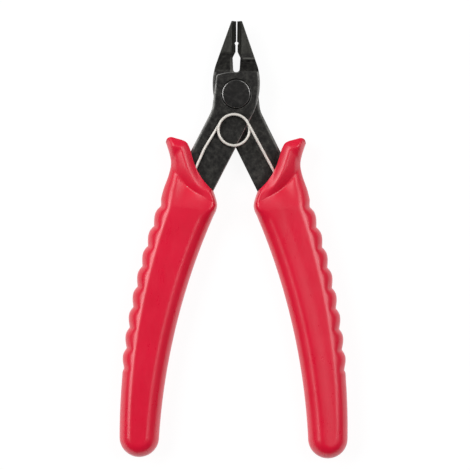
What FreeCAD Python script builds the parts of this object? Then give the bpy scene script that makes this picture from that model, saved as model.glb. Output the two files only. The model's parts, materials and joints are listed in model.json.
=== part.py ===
import FreeCAD, Part
import math
import os
import re

import Sketcher
from FreeCAD import Placement, Rotation, Vector

# Flush cutter: two stamped steel levers lapped on a pivot rivet, a torsion
# return spring in front of the pivot and a moulded grip on each tang.
# The tool lies flat, jaws towards +Y and front face up (+Z). Every piece is
# drawn about the pivot, with z = 0 on the plane where the two plates lap.

DIMENSIONS = [
    # alias, millimetres (or a plain ratio or count)
    ("overall_length", 130.0),
    ("tip_reach", 21.8),
    ("plate_thickness", 2.5),
    ("lap_gap", 0.05),
    # jaw outline
    ("slit_half_tip", 0.15),
    ("slit_half_root", 0.12),
    ("tip_half", 1.55),
    ("tip_round", 0.45),
    ("notch_height", 15.2),
    ("notch_radius", 0.53),
    ("notch_mouth", 0.2),
    ("throat_half", 0.29),
    ("throat_low", 12.7),
    ("relief_half_top", 1.15),
    ("relief_half_low", 0.95),
    ("relief_top", 10.9),
    ("relief_low", 6.5),
    # flank, boss and strap outline
    ("shoulder_half", 6.045),
    ("shoulder_top", 9.03),
    ("shoulder_radius", 17.6),
    ("boss_half", 7.04),
    ("boss_widest", 3.2),
    ("hip_radius", 21.4),
    ("hip_low", 6.45),
    ("heel_half_top", 5.2),
    ("heel_top", 5.8),
    ("heel_half_side", 6.0),
    ("heel_side", 4.9),
    ("heel_corner_radius", 0.95),
    ("heel_crown_radius", 14.0),
    ("neck_half", 7.05),
    ("neck_drop", 3.8),
    ("neck_radius", 8.0),
    ("neck_low", 6.4),
    ("crotch_drop", 15.84),
    ("strap_slope", 0.505),
    ("strap_span", 12.72),
    # tang inside the grip
    ("tang_bend", 33.0),
    ("tang_inner_radius", 123.0),
    ("tang_end", 80.0),
    ("tang_end_inner", 21.6),
    ("tang_wall", 2.2),
    ("tang_leave", 18.0),
    # jaw joggle, seen from the side
    ("lap_slope_start", 7.3),
    ("lap_slope_end", 12.5),
    ("face_slope_start", 6.8),
    ("face_slope_end", 9.4),
    ("face_valley", 0.35),
    ("face_level_start", 10.2),
    # cutting bevel and edge breaks
    ("bevel_half", 1.5),
    ("bevel_land", 0.3),
    ("bevel_start", 10.4),
    ("edge_break", 0.35),
    ("flank_break", 0.15),
    # rivet
    ("rivet_shank_radius", 2.4),
    ("rivet_head_radius", 4.2),
    ("rivet_seat_radius", 4.28),
    ("rivet_seat_depth", 0.9),
    ("rivet_stand", 0.22),
    ("rivet_corner_radius", 0.28),
    ("seat_dish", 0.25),
    ("running_clearance", 0.03),
    # spring
    ("wire_radius", 0.4),
    ("coil_radius", 4.6),
    ("coil_offset", 0.6),
    ("coil_drop", 10.75),
    ("coil_pitch", 0.95),
    ("coil_lift", 0.16),
    ("left_leg_angle", 149.0),
    ("right_leg_angle", 28.9),
    ("left_knee_out", 9.3),
    ("left_knee_drop", 16.3),
    ("hook_out", 14.8),
    ("hook_drop", 29.0),
    ("hook_bend", 0.9),
    ("knee_bend", 13.8),
    ("ease_bend", 9.2),
    ("ease_run", 2.3),
    ("hook_depth", 1.6),
    ("hook_hole_radius", 0.6),
    # grips
    ("grip_thickness", 10.5),
    ("grip_inner_radius", 195.43),
    ("grip_inner_centre_out", -172.91),
    ("grip_inner_centre_drop", 113.84),
    ("grip_outer_radius", 205.72),
    ("grip_outer_centre_out", -171.75),
    ("grip_outer_centre_drop", 100.72),
    ("grip_end_drop", 102.3),
    ("grip_end_radius", 5.9),
    ("grip_edge_radius", 3.0),
    ("fit_clearance", 0.05),
    # grip mouth, thumb stop and crotch bulge: places are (out, drop)
    ("stop_foot_drop", 33.4),
    ("stop_side_out", 22.0),
    ("stop_side_drop", 30.6),
    ("stop_side_radius", 6.0),
    ("stop_neck_out", 20.0),
    ("stop_neck_drop", 24.2),
    ("stop_waist_out", 19.6),
    ("stop_waist_drop", 18.3),
    ("stop_waist_radius", 9.0),
    ("stop_top_out", 20.9),
    ("stop_top_drop", 14.7),
    ("fin_top_out", 19.2),
    ("fin_top_drop", 12.95),
    ("fin_top_radius", 1.6),
    ("fin_inner_out", 15.0),
    ("fin_inner_drop", 14.1),
    ("rim_top_out", 14.1),
    ("rim_top_drop", 15.1),
    ("rim_top_radius", 0.9),
    ("rim_middle_out", 12.7),
    ("rim_middle_drop", 19.0),
    ("rim_upper_radius", 30.0),
    ("rim_low_out", 6.5),
    ("rim_low_drop", 28.9),
    ("rim_lower_radius", 40.0),
    ("bulge_out", 5.6),
    ("bulge_drop", 31.9),
    ("bulge_foot_drop", 35.0),
    ("bulge_radius", 1.9),
    ("channel_half", 0.65),
    ("channel_past_hook", 1.3),
    ("channel_length", 16.0),
    ("left_channel_height", 1.25),
    ("right_channel_height", 2.7),
    ("scallop_count", 8.0),
    ("scallop_first", 36.6),
    ("scallop_pitch_degrees", 1.735),
    ("scallop_radius", 3.3),
    ("scallop_stand", 0.4),
    ("scallop_half_height", 4.0),
]

def make_sheet(doc):
    sheet = doc.addObject("Spreadsheet::Sheet", "Sheet")
    for row, (alias, value) in enumerate(DIMENSIONS, start=1):
        sheet.set(f"A{row}", alias)
        sheet.set(f"B{row}", str(value))
        sheet.setAlias(f"B{row}", alias)
    doc.recompute()
    return sheet


class Tool:
    """The document, its sheet and short ways to read and bind the cells."""

    def __init__(self):
        self.doc = FreeCAD.newDocument("flush_cutter")
        self.sheet = make_sheet(self.doc)
        self.names = {alias for alias, _ in DIMENSIONS}

    def cell(self, alias):
        return float(self.sheet.get(alias))

    def bound(self, text):
        """The same formula with every alias pointing into the sheet."""
        def point(word):
            return f"Sheet.{word.group()}" if word.group() in self.names else word.group()
        return re.sub("[a-z_]+", point, text)

    def value(self, text):
        found = self.sheet.evalExpression(text)
        return float(getattr(found, "Value", found))

    def bind(self, thing, prop, text):
        thing.setExpression(prop, self.bound(text))


def origin_plane(body, role):
    return next(f for f in body.Origin.OriginFeatures if f.Role == role)


def new_sketch(body, name, role, offset=None):
    sketch = body.newObject("Sketcher::SketchObject", name)
    sketch.AttachmentSupport = (origin_plane(body, role), [""])
    sketch.MapMode = "FlatFace"
    if offset is not None:
        sketch.AttachmentOffset = Placement(offset, Rotation())
    return sketch


def arc_between(start, end, radius, side):
    """The minor arc between two points; side is +1 when it bulges to the left
    of the way from start to end. Arcs run anticlockwise, so one that bulges
    to the left is drawn from end to start."""
    chord = end - start
    half = chord.Length / 2
    left = Vector(-chord.y, chord.x, 0).normalize()
    inward = math.sqrt(radius * radius - half * half)
    centre = (start + end) * 0.5 - left * inward * side
    first, last = (end, start) if side > 0 else (start, end)
    angles = [math.atan2(p.y - centre.y, p.x - centre.x) for p in (first, last)]
    if angles[1] < angles[0]:
        angles[1] += 2 * math.pi
    circle = Part.Circle(centre, Vector(0, 0, 1), radius)
    return Part.ArcOfCircle(circle, angles[0], angles[1])


def fix_point(tool, sketch, index, position, x_text, y_text):
    """Holds one end of an edge at a place given by two formulas."""
    for kind, text in (("DistanceX", x_text), ("DistanceY", y_text)):
        number = sketch.addConstraint(
            Sketcher.Constraint(kind, index, position, tool.value(text))
        )
        tool.bind(sketch, f"Constraints[{number}]", text)


def draw_outline(tool, sketch, corners):
    """Draws a closed outline. Each corner is (x, y) or (x, y, radius, side):
    the edge that arrives there is a line, or an arc of that radius."""
    places = [Vector(tool.value(c[0]), tool.value(c[1]), 0) for c in corners]
    arrives = []
    for k, corner in enumerate(corners):
        start, end = places[k - 1], places[k]
        if len(corner) == 4:
            radius, side = tool.value(corner[2]), corner[3]
            sketch.addGeometry(arc_between(start, end, radius, side), False)
            number = sketch.addConstraint(Sketcher.Constraint("Radius", k, radius))
            tool.bind(sketch, f"Constraints[{number}]", corner[2])
            arrives.append(1 if side > 0 else 2)
        else:
            sketch.addGeometry(Part.LineSegment(start, end), False)
            arrives.append(2)
    for k, corner in enumerate(corners):
        onward = (k + 1) % len(corners)
        leaves = 3 - arrives[onward]
        fix_point(tool, sketch, k, arrives[k], corner[0], corner[1])
        sketch.addConstraint(
            Sketcher.Constraint("Coincident", k, arrives[k], onward, leaves)
        )


def draw_circle(tool, sketch, x_text, y_text, radius_text):
    centre = Vector(tool.value(x_text), tool.value(y_text), 0)
    circle = Part.Circle(centre, Vector(0, 0, 1), tool.value(radius_text))
    index = sketch.addGeometry(circle, False)
    number = sketch.addConstraint(
        Sketcher.Constraint("Radius", index, tool.value(radius_text))
    )
    tool.bind(sketch, f"Constraints[{number}]", radius_text)
    fix_point(tool, sketch, index, 3, x_text, y_text)


def pocket(tool, body, name, sketch, midplane=False, depth=None, reverse=False):
    """Cuts the sketch out of the body, right through unless it has a depth."""
    before = body.Tip.Shape.Volume
    cut = body.newObject("PartDesign::Pocket", name)
    cut.Profile = sketch
    if depth is None:
        cut.Type = "ThroughAll"
    else:
        cut.Type = "Length"
        tool.bind(cut, "Length", depth)
    cut.SideType = "Symmetric" if midplane else "One side"
    cut.Reversed = reverse
    tool.doc.recompute()
    if cut.Shape.isNull() or not cut.Shape.Volume < before - 1e-6:
        raise RuntimeError(f"{body.Label}: {name} cuts nothing")
    return cut


def edge_names(shape, wanted):
    return [f"Edge{k}" for k, edge in enumerate(shape.Edges, start=1) if wanted(edge)]


def dress(tool, body, kind, name, size, wanted):
    """A Fillet or Chamfer on the edges of the tip that wanted() picks."""
    tool.doc.recompute()
    base = body.Tip
    names = edge_names(base.Shape, wanted)
    if not names:
        raise RuntimeError(f"{body.Label}: {name} finds no edge")
    feature = body.newObject(f"PartDesign::{kind}", name)
    feature.Base = (base, names)
    tool.bind(feature, "Radius" if kind == "Fillet" else "Size", size)
    tool.doc.recompute()
    return feature


def make_body(tool, name):
    body = tool.doc.addObject("PartDesign::Body", name)
    body.Label = name
    return body


def place(tool, body, flipped):
    """Seats a piece: pivot on the tool's axis, grips' backs on the table."""
    turn = Rotation(Vector(0, 1, 0), 180 if flipped else 0)
    body.Placement = Placement(Vector(0, 0, 0), turn)
    tool.bind(body, "Placement.Base.y", "overall_length / 2 - tip_reach")
    tool.bind(body, "Placement.Base.z", "grip_thickness / 2")


# --- levers ---------------------------------------------------------------

STRAP_OUTER = "-(strap_slope * ({0} - crotch_drop) + strap_span)"
TANG_OUTER_AT = (
    "-(grip_outer_centre_out + sqrt(pow(grip_outer_radius - tang_wall; 2)"
    " - pow(grip_outer_centre_drop - {0}; 2)))"
)


def lever_corners():
    """Right-hand jaw, boss and left-hand strap and tang, clockwise from the
    inner corner of the tip."""
    return [
        ("slit_half_tip", "tip_reach"),
        ("tip_half", "tip_reach"),
        ("shoulder_half", "shoulder_top"),
        ("boss_half", "boss_widest", "shoulder_radius", 1),
        ("strap_slope * (crotch_drop - hip_low)", "-hip_low", "hip_radius", 1),
        ("strap_slope * (crotch_drop - tang_bend)", "-tang_bend"),
        ("-tang_end_inner", "-tang_end", "tang_inner_radius", -1),
        (TANG_OUTER_AT.format("tang_end"), "-tang_end"),
        (STRAP_OUTER.format("tang_leave"), "-tang_leave",
         "grip_outer_radius - tang_wall", 1),
        (STRAP_OUTER.format("neck_low"), "-neck_low"),
        ("-neck_half", "-neck_drop", "neck_radius", -1),
        ("-heel_half_side", "heel_side"),
        ("-heel_half_top", "heel_top", "heel_corner_radius", 1),
        ("-relief_half_top", "relief_low", "heel_crown_radius", 1),
        ("0", "relief_low"),
        ("relief_half_low", "relief_low + relief_half_low", "relief_half_low", -1),
        ("relief_half_top", "relief_top"),
        ("throat_half", "throat_low"),
        ("throat_half", "notch_height - notch_mouth"),
        ("slit_half_root", "notch_height + notch_mouth"),
    ]


def blank(tool, body):
    """The stamping: its outline padded over the plate and the joggled jaw."""
    outline = new_sketch(body, body.Name + "_outline", "XY_Plane")
    draw_outline(tool, outline, lever_corners())
    pad = body.newObject("PartDesign::Pad", body.Name + "_blank")
    pad.Profile = outline
    pad.SideType = "Two sides"
    tool.bind(pad, "Length", "plate_thickness + lap_gap / 2")
    tool.bind(pad, "Length2", "plate_thickness / 2")
    tool.doc.recompute()


def joggle(tool, body):
    """Takes the boss and strap up to their own side of the lap plane, and
    brings the jaw's face down to the common jaw level."""
    behind = new_sketch(body, body.Name + "_behind", "YZ_Plane")
    draw_outline(tool, behind, [
        ("-overall_length", "-plate_thickness"),
        ("-overall_length", "lap_gap / 2"),
        ("lap_slope_start", "lap_gap / 2"),
        ("lap_slope_end", "-plate_thickness / 2"),
        ("lap_slope_end", "-plate_thickness"),
    ])
    pocket(tool, body, body.Name + "_lap_cut", behind, midplane=True)
    above = new_sketch(body, body.Name + "_above", "YZ_Plane")
    draw_outline(tool, above, [
        ("face_slope_start", "plate_thickness * 2"),
        ("face_slope_start", "plate_thickness + lap_gap / 2"),
        ("face_slope_end", "plate_thickness / 2 - face_valley"),
        ("face_level_start", "plate_thickness / 2"),
        ("overall_length", "plate_thickness / 2"),
        ("overall_length", "plate_thickness * 2"),
    ])
    pocket(tool, body, body.Name + "_face_cut", above, midplane=True)


def rivet_seat(tool, body):
    """Shank bore, and the counterbore that the rivet's head sinks into."""
    bore = new_sketch(body, body.Name + "_bore", "XY_Plane")
    draw_circle(tool, bore, "0", "0", "rivet_shank_radius + running_clearance")
    pocket(tool, body, body.Name + "_bore_cut", bore, midplane=True)
    top = Vector(0, 0, tool.value("plate_thickness + lap_gap / 2"))
    seat = new_sketch(body, body.Name + "_seat", "XY_Plane", top)
    tool.bind(seat, "AttachmentOffset.Base.z", "plate_thickness + lap_gap / 2")
    draw_circle(tool, seat, "0", "0", "rivet_seat_radius")
    pocket(tool, body, body.Name + "_seat_cut", seat, depth="rivet_seat_depth")


def notch_and_hook_hole(tool, body):
    notch = new_sketch(body, body.Name + "_notch", "XY_Plane")
    draw_circle(tool, notch, "0", "notch_height", "notch_radius")
    pocket(tool, body, body.Name + "_notch_cut", notch, midplane=True)
    hole = new_sketch(body, body.Name + "_hook", "XY_Plane")
    draw_circle(tool, hole, "-hook_out", "-hook_drop", "hook_hole_radius")
    pocket(tool, body, body.Name + "_hook_cut", hole, midplane=True)


def cutting_bevel(tool, body, front):
    """Grinds the jaw away to an edge beside the slit; front is +1 when the
    bevel is on the piece's own +Z face, -1 when it is on the other."""
    sign = "" if front > 0 else "-"
    start = Vector(0, 0, -tool.value("bevel_start"))
    wedge = new_sketch(body, body.Name + "_wedge", "XZ_Plane", start)
    tool.bind(wedge, "AttachmentOffset.Base.z", "-bevel_start")
    draw_outline(tool, wedge, [
        ("-bevel_half", f"{sign}(plate_thickness / 2 + edge_break)"),
        ("bevel_half", f"{sign}(plate_thickness / 2 + edge_break)"),
        ("bevel_half", f"{sign}(plate_thickness / 2)"),
        ("slit_half_root", f"{sign}(bevel_land - plate_thickness / 2)"),
        ("-bevel_half", f"{sign}(bevel_land - plate_thickness / 2)"),
    ])
    pocket(tool, body, body.Name + "_bevel", wedge)


def break_edges(tool, body):
    """Rounds the tip's corner, the rim of the lever's own face and the jaw's
    outer flank, and dishes the rim of the rivet's seat."""
    top = tool.value("plate_thickness + lap_gap / 2")
    seat = tool.cell("rivet_seat_radius")
    tip = tool.cell("tip_reach")
    tip_middle = tool.value("(slit_half_tip + tip_half) / 2")
    lowest = tool.value("plate_thickness / 2 - face_valley")
    outboard = tool.value("bevel_half * 2")
    foot = tool.cell("face_slope_start")

    def seat_rim(edge):
        box = edge.BoundBox
        round_edge = isinstance(edge.Curve, Part.Circle)
        return (round_edge and abs(edge.Curve.Radius - seat) < 1e-6
                and abs(box.ZMin - top) < 1e-6)

    def tip_corner(edge):
        box = edge.BoundBox
        return (box.XLength < 1e-6 and box.YLength < 1e-6
                and box.YMax > tip - 1e-6 and box.XMin > tip_middle)

    def plate_rim(edge):
        box = edge.BoundBox
        flat = abs(box.ZMin - top) < 1e-6 and abs(box.ZMax - top) < 1e-6
        outside = box.YMax < foot - 1e-3
        crotch_side = box.YMin < -tool.cell("tang_bend")
        return flat and outside and not seat_rim(edge) and not crotch_side

    def flank(edge):
        box = edge.BoundBox
        middle = edge.valueAt((edge.FirstParameter + edge.LastParameter) / 2)
        slanted = box.XLength > 1e-3 and box.YLength > 1e-3
        on_the_face = box.ZMin > lowest - 1e-3
        return slanted and on_the_face and middle.x > outboard and middle.y > foot

    dress(tool, body, "Fillet", body.Name + "_tip_round", "tip_round", tip_corner)
    dress(tool, body, "Chamfer", body.Name + "_dish", "seat_dish", seat_rim)
    dress(tool, body, "Fillet", body.Name + "_edge_break", "edge_break", plate_rim)
    dress(tool, body, "Fillet", body.Name + "_flank_break", "flank_break", flank)


def make_lever(tool, name, flipped):
    body = make_body(tool, name)
    blank(tool, body)
    joggle(tool, body)
    rivet_seat(tool, body)
    notch_and_hook_hole(tool, body)
    cutting_bevel(tool, body, -1 if flipped else 1)
    break_edges(tool, body)
    place(tool, body, flipped)
    return body


# --- rivet ----------------------------------------------------------------

def make_rivet(tool):
    """Turned about Z: a shank with a flat, round-cornered head at each end."""
    body = make_body(tool, "pivot_rivet")
    profile = new_sketch(body, "rivet_profile", "XZ_Plane")
    head_under = ("plate_thickness + lap_gap / 2 - rivet_seat_depth"
                  " + running_clearance")
    head_top = "plate_thickness + lap_gap / 2 + rivet_stand"
    draw_outline(tool, profile, [
        ("0", f"-({head_top})"),
        ("rivet_head_radius - rivet_corner_radius", f"-({head_top})"),
        ("rivet_head_radius", f"-({head_top} - rivet_corner_radius)",
         "rivet_corner_radius", -1),
        ("rivet_head_radius", f"-({head_under})"),
        ("rivet_shank_radius", f"-({head_under})"),
        ("rivet_shank_radius", head_under),
        ("rivet_head_radius", head_under),
        ("rivet_head_radius", f"{head_top} - rivet_corner_radius"),
        ("rivet_head_radius - rivet_corner_radius", head_top,
         "rivet_corner_radius", -1),
        ("0", head_top),
    ])
    turned = body.newObject("PartDesign::Revolution", "rivet_turned")
    turned.Profile = profile
    turned.ReferenceAxis = (profile, ["V_Axis"])
    turned.Angle = 360.0
    tool.doc.recompute()
    place(tool, body, False)
    return body


# --- grips ----------------------------------------------------------------

def arc_out(kind, drop):
    """Formula for how far out a grip's edge arc is at a given drop."""
    return (f"grip_{kind}_centre_out + sqrt(pow(grip_{kind}_radius; 2)"
            f" - pow(grip_{kind}_centre_drop - {drop}; 2))")


def grip_corners():
    """Outline of the left grip, clockwise from its inner edge at the end."""
    inner_end = arc_out("inner", "grip_end_drop")
    outer_end = arc_out("outer", "grip_end_drop")
    return [
        (f"-({inner_end})", "-grip_end_drop", "grip_inner_radius", -1),
        (f"-({inner_end} + {outer_end}) / 2", "tip_reach - overall_length",
         "grip_end_radius", 1),
        (f"-({outer_end})", "-grip_end_drop", "grip_end_radius", 1),
        (f"-({arc_out('outer', 'stop_foot_drop')})", "-stop_foot_drop",
         "grip_outer_radius", 1),
        ("-stop_side_out", "-stop_side_drop", "stop_side_radius", 1),
        ("-stop_neck_out", "-stop_neck_drop"),
        ("-stop_waist_out", "-stop_waist_drop", "stop_waist_radius", -1),
        ("-stop_top_out", "-stop_top_drop"),
        ("-fin_top_out", "-fin_top_drop", "fin_top_radius", 1),
        ("-fin_inner_out", "-fin_inner_drop"),
        ("-rim_top_out", "-rim_top_drop", "rim_top_radius", 1),
        ("-rim_middle_out", "-rim_middle_drop", "rim_upper_radius", -1),
        ("-rim_low_out", "-rim_low_drop", "rim_lower_radius", -1),
        ("-bulge_out", "-bulge_drop"),
        (f"-({arc_out('inner', 'bulge_foot_drop')})", "-bulge_foot_drop",
         "bulge_radius", 1),
    ]


def grip_blank(tool, body):
    outline = new_sketch(body, body.Name + "_outline", "XY_Plane")
    draw_outline(tool, outline, grip_corners())
    pad = body.newObject("PartDesign::Pad", body.Name + "_blank")
    pad.Profile = outline
    pad.SideType = "Symmetric"
    tool.bind(pad, "Length", "grip_thickness")
    tool.doc.recompute()


def soften_grip(tool, body):
    """Rounds the long edges and the end of the grip, front and back."""
    half = tool.value("grip_thickness / 2")
    end = tool.value("grip_end_drop")
    below_the_stop = tool.value("-bulge_foot_drop")

    def long_edge(edge):
        box = edge.BoundBox
        on_a_face = abs(abs(box.ZMin) - half) < 1e-6 and box.ZLength < 1e-6
        body_side = box.YMax > below_the_stop - 1e-3 and box.YMin < 2 * below_the_stop
        return on_a_face and (body_side or box.YMin < -end - 1e-3)

    dress(tool, body, "Fillet", body.Name + "_shoulder", "grip_edge_radius", long_edge)


def scallops(tool, body):
    """Finger bumps: one barrel-shaped bump turned about Z on the outer edge,
    repeated about the centre of the edge's arc."""
    out, drop = tool.cell("grip_outer_centre_out"), tool.cell("grip_outer_centre_drop")
    radius = tool.cell("grip_outer_radius")
    first = math.asin((drop - tool.cell("scallop_first")) / radius)
    reach = radius + tool.cell("scallop_stand") - tool.cell("scallop_radius")
    centre = Vector(-(out + reach * math.cos(first)), reach * math.sin(first) - drop, 0)
    profile = new_sketch(body, body.Name + "_bump", "XZ_Plane")
    profile.AttachmentOffset = Placement(Vector(centre.x, 0, -centre.y), Rotation())
    waist = "scallop_radius - scallop_stand"
    draw_outline(tool, profile, [
        ("0", "-scallop_half_height"),
        ("0", "scallop_half_height"),
        (waist, "scallop_half_height"),
        (waist, "-scallop_half_height",
         "pow(scallop_half_height; 2) / (2 * scallop_stand) + scallop_stand / 2", 1),
    ])
    bump = body.newObject("PartDesign::Revolution", body.Name + "_bump_turned")
    bump.Profile = profile
    bump.ReferenceAxis = (profile, ["V_Axis"])
    bump.Angle = 360.0
    tool.doc.recompute()
    centre_mark = new_sketch(body, body.Name + "_arc_centre", "XY_Plane",
                             Vector(-out, -drop, 0))
    row = body.newObject("PartDesign::PolarPattern", body.Name + "_bumps")
    row.Originals = [bump]
    row.Axis = (centre_mark, ["N_Axis"])
    tool.bind(row, "Occurrences", "scallop_count")
    tool.bind(row, "Angle", "scallop_pitch_degrees * (scallop_count - 1)")
    body.Tip = row
    tool.doc.recompute()


def tang_cavity(tool, body):
    """The hollow that the lever's tang fills, wider by the fit clearance."""
    hollow = new_sketch(body, body.Name + "_hollow", "XY_Plane",
                        Vector(0, 0, tool.value("lap_gap / 2 - fit_clearance")))
    tool.bind(hollow, "AttachmentOffset.Base.z", "lap_gap / 2 - fit_clearance")
    sideways = "fit_clearance * sqrt(1 + pow(strap_slope; 2))"
    inner = "strap_slope * (crotch_drop - {0}) + " + sideways
    outer = STRAP_OUTER + " - " + sideways
    draw_outline(tool, hollow, [
        (inner.format("neck_low"), "-neck_low"),
        (inner.format("tang_bend"), "-tang_bend"),
        ("fit_clearance - tang_end_inner", "-tang_end - fit_clearance",
         "tang_inner_radius + fit_clearance", -1),
        (TANG_OUTER_AT.format("tang_end") + " - fit_clearance",
         "-tang_end - fit_clearance"),
        (outer.format("tang_leave"), "-tang_leave",
         "grip_outer_radius - tang_wall + fit_clearance", 1),
        (outer.format("neck_low"), "-neck_low"),
    ])
    pocket(tool, body, body.Name + "_hollow_cut", hollow,
           depth="plate_thickness + fit_clearance * 2", reverse=True)


def spring_channel(tool, body, flipped):
    """The groove beside the tang that the spring's leg lies in. It opens on
    the front of the tool, which is a flipped grip's own back."""
    bend = leg_turn(tool, flipped)
    level = "-lap_gap / 2 + fit_clearance" if flipped else "plate_thickness"
    height = "right_channel_height" if flipped else "left_channel_height"
    groove = new_sketch(body, body.Name + "_groove", "XY_Plane")
    seat = Vector(-tool.cell("hook_out"), -tool.cell("hook_drop"), tool.value(level))
    groove.AttachmentOffset = Placement(seat, Rotation(Vector(0, 0, 1), -bend))
    draw_outline(tool, groove, [
        ("-channel_half", "-channel_past_hook"),
        ("channel_half", "-channel_past_hook"),
        ("channel_half", "channel_length"),
        ("-channel_half", "channel_length"),
    ])
    pocket(tool, body, body.Name + "_groove_cut", groove, depth=height,
           reverse=not flipped)


def make_grip(tool, name, flipped):
    body = make_body(tool, name)
    grip_blank(tool, body)
    soften_grip(tool, body)
    scallops(tool, body)
    tang_cavity(tool, body)
    spring_channel(tool, body, flipped)
    place(tool, body, flipped)
    return body


# --- spring ---------------------------------------------------------------

def coil_point(tool, degrees, height):
    angle = math.radians(degrees)
    radius = tool.cell("coil_radius")
    return Vector(
        radius * math.cos(angle) - tool.cell("coil_offset"),
        radius * math.sin(angle) - tool.cell("coil_drop"),
        height,
    )


def spring_levels(tool):
    """Heights of the wire's centre line: over the front plate, at the top of
    the coil, and over the rear plate where the right leg ends."""
    stand = tool.cell("coil_lift") + tool.cell("wire_radius")
    low = tool.value("plate_thickness + lap_gap / 2") + stand
    turns = (tool.cell("left_leg_angle") + 360 - tool.cell("right_leg_angle")) / 360
    high = low + tool.cell("coil_pitch") * turns
    right = stand - tool.value("lap_gap / 2")
    return low, high, right


def leg_turn(tool, right_leg):
    """Degrees between a leg, from its hook up, and the tool's axis."""
    low, high, _ = spring_levels(tool)
    hook_out, hook_drop = tool.cell("hook_out"), tool.cell("hook_drop")
    if right_leg:
        top = coil_point(tool, tool.cell("right_leg_angle"), high)
        return math.degrees(math.atan2(hook_out - top.x, hook_drop + top.y))
    return math.degrees(math.atan2(
        hook_out - tool.cell("left_knee_out"), hook_drop - tool.cell("left_knee_drop")
    ))


def bent_wire(points, radii):
    """Edges of straight runs through the points, with a tangent arc of the
    given radius at each inner point."""
    edges = []
    start = points[0]
    for k, radius in enumerate(radii, start=1):
        corner = points[k]
        back = (points[k - 1] - corner).normalize()
        on = (points[k + 1] - corner).normalize()
        half = back.getAngle(on) / 2
        reach = radius / math.tan(half)
        middle = corner + (back + on).normalize() * radius * (1 / math.sin(half) - 1)
        enter, leave = corner + back * reach, corner + on * reach
        edges.append(Part.LineSegment(start, enter).toShape())
        edges.append(Part.Arc(enter, middle, leave).toShape())
        start = leave
    edges.append(Part.LineSegment(start, points[-1]).toShape())
    return edges


def spring_wire(tool):
    """Left hook and leg, the coil winding clockwise towards the front, and
    the right leg coming down beside the front plate to its own hook."""
    low, high, right = spring_levels(tool)
    out, drop = tool.cell("hook_out"), tool.cell("hook_drop")
    depth, bend = tool.cell("hook_depth"), tool.cell("hook_bend")
    stand = tool.cell("coil_lift") + tool.cell("wire_radius")
    start = coil_point(tool, tool.cell("left_leg_angle"), low)
    end = coil_point(tool, tool.cell("right_leg_angle"), high)
    knee = Vector(-tool.cell("left_knee_out"), -tool.cell("left_knee_drop"), low)
    left_edges = bent_wire(
        [Vector(-out, -drop, low - stand - depth), Vector(-out, -drop, low), knee, start],
        [bend, tool.cell("knee_bend")],
    )
    coil = Part.makeHelix(tool.cell("coil_pitch"), high - low, tool.cell("coil_radius"),
                          0, True)
    centre = Vector(-tool.cell("coil_offset"), -tool.cell("coil_drop"), low)
    turn = Rotation(Vector(0, 0, 1), tool.cell("left_leg_angle"))
    coil.Placement = Placement(centre, turn)
    hook = Vector(out, -drop, right)
    level_run = (Vector(hook.x, hook.y, end.z) - end).normalize()
    ease = end + level_run * tool.cell("ease_run")
    right_edges = bent_wire(
        [end, ease, hook, hook - Vector(0, 0, stand + depth)],
        [tool.cell("ease_bend"), bend],
    )
    return left_edges + coil.Edges + right_edges


def make_spring(tool):
    path = Part.Wire(spring_wire(tool))
    first = path.Edges[0]
    start = first.Vertexes[0].Point
    along = first.tangentAt(first.FirstParameter)
    circle = Part.Circle(start, along, tool.cell("wire_radius"))
    solid = path.makePipeShell([Part.Wire(circle.toShape())], True, False)
    spring = tool.doc.addObject("Part::Feature", "return_spring")
    spring.Label = "return_spring"
    spring.Shape = solid
    place(tool, spring, False)
    return spring


# --- the whole tool -------------------------------------------------------

def check(doc, pieces):
    doc.recompute()
    for thing in doc.Objects:
        if any(word in thing.State for word in ("Invalid", "Error")):
            raise RuntimeError(f"{thing.Name} failed: {thing.State}")
    for piece in pieces:
        if piece.Shape.isNull() or not piece.Shape.isValid():
            raise RuntimeError(f"{piece.Label} has no valid shape")
        if len(piece.Shape.Solids) != 1:
            raise RuntimeError(f"{piece.Label} is not one solid")


def main():
    tool = Tool()
    pieces = [
        make_lever(tool, "front_lever", False),
        make_lever(tool, "rear_lever", True),
        make_rivet(tool),
        make_spring(tool),
        make_grip(tool, "left_grip", False),
        make_grip(tool, "right_grip", True),
    ]
    check(tool.doc, pieces)
    os.makedirs("parts", exist_ok=True)
    for piece in pieces:
        piece.Shape.exportStep(f"parts/{piece.Label}.step")
        print(piece.Label, round(piece.Shape.Volume, 1), "mm3")


main()
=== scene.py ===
import json
import math

import bpy
import numpy as np
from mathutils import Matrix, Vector


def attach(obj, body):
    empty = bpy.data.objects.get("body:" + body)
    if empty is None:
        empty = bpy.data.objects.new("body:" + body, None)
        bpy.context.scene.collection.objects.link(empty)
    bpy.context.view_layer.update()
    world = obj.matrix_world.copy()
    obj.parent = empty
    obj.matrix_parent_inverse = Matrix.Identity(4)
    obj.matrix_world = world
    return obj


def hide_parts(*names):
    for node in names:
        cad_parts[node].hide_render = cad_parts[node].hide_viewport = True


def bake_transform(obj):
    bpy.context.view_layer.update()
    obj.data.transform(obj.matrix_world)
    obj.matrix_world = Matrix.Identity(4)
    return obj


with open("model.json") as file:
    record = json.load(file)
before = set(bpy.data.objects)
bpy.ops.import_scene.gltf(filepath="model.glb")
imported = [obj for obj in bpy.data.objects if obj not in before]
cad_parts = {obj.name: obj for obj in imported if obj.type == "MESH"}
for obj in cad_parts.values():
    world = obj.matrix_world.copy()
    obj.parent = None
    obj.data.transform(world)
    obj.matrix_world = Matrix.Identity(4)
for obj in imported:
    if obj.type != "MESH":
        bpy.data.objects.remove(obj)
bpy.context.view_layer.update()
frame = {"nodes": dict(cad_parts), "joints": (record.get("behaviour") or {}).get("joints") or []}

# Outlines are drawn in millimetres from the pivot: `out` is the distance from
# the tool's middle line, `y` runs towards the jaws and `z` is measured from
# the plane where the two levers lap. Blender objects are in metres.
MM = 0.001
PIVOT = Vector(frame["joints"][0]["pos_m"])
LEFT, RIGHT = -1, 1


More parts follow.
